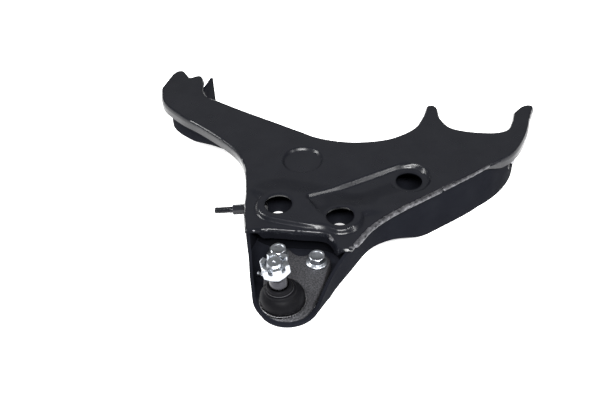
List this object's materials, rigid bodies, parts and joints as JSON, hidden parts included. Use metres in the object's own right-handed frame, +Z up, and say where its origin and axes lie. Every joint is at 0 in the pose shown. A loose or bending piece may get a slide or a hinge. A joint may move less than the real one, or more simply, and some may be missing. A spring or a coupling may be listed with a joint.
{
  "type": "suspension control arm",
  "caption": "Pressed two-shell lower control arm with a bolted ball joint, a stub stud, and rubber pivot bushes at the front leg and in the rear yoke.",
  "frame": {"origin": "on the ball joint's axis, at the flat foot of its bottom cap", "axes": "+X along the bushes' pivot axis towards the rear yoke, +Y from the ball joint towards the pivot axis, +Z up, the way the ball stud points"},
  "size_m": [0.441, 0.3836, 0.1005],
  "materials": {
    "black_paint": "satin black electrocoat on pressed steel",
    "weld_metal": "painted weld bead, rough with bright specks",
    "forging": "forged skin, fine grain, satin",
    "zinc": "bright zinc plate",
    "steel": "machined steel, lightly oiled",
    "rubber": "moulded rubber, satin",
    "liner": "moulded bearing plastic"
  },
  "bodies": {
    "root": {"upper_shell": "black_paint", "lower_shell": "black_paint", "pocket_web": "black_paint", "edge_weld": "weld_metal", "front_bush_tube": "black_paint", "front_bush_rubber": "rubber", "rear_bush_tube": "black_paint", "rear_bush_rubber_inner": "rubber", "rear_bush_rubber_outer": "rubber", "ball_joint_housing": "forging", "ball_joint_bottom_cap": "steel", "ball_seat": "liner", "preload_washer": "steel", "boot_base_ring": "steel", "grease_nipple": "zinc", "flange_bolt_1": "zinc", "flange_bolt_2": "zinc", "flange_nut_1": "zinc", "flange_nut_2": "zinc", "side_stud": "black_paint", "side_stud_nut": "steel"},
    "boot_lean": {"dust_boot": "rubber"},
    "boot_neck": {"boot_neck_ring": "steel"},
    "stud": {"ball_stud": "steel", "castle_nut": "zinc"},
    "front_sleeve": {"front_bush_sleeve": "steel"},
    "rear_sleeve": {"rear_bush_sleeve": "steel"}
  },
  "joints": [
    {"name": "ball_tilt_x", "type": "hinge", "parent": "root", "child": "boot_lean", "pos_m": [0, 0, 0.0138], "axis": [1, 0, 0], "range_deg": [-15, 15], "deforming": ["dust_boot"]},
    {"name": "ball_tilt_y", "type": "hinge", "parent": "boot_lean", "child": "boot_neck", "pos_m": [0, 0, 0.0138], "axis": [0, 1, 0], "range_deg": [-15, 15]},
    {"name": "stud_spin", "type": "hinge", "parent": "boot_neck", "child": "stud", "pos_m": [0, 0, 0.0138], "axis": [-0.0686, -0.0686, 0.9953], "continuous": true},
    {"name": "front_bush_twist", "type": "hinge", "parent": "root", "child": "front_sleeve", "pos_m": [-0.213, 0.291, 0.0038], "axis": [1, 0, 0], "range_deg": [-25, 25], "stiffness_Nm_per_rad": 1},
    {"name": "rear_bush_twist", "type": "hinge", "parent": "root", "child": "rear_sleeve", "pos_m": [0.1325, 0.291, 0.0038], "axis": [1, 0, 0], "range_deg": [-25, 25]}
  ],
  "couplings": [
    {"joint": "rear_bush_twist", "follows": "front_bush_twist", "ratio": 1}
  ]
}
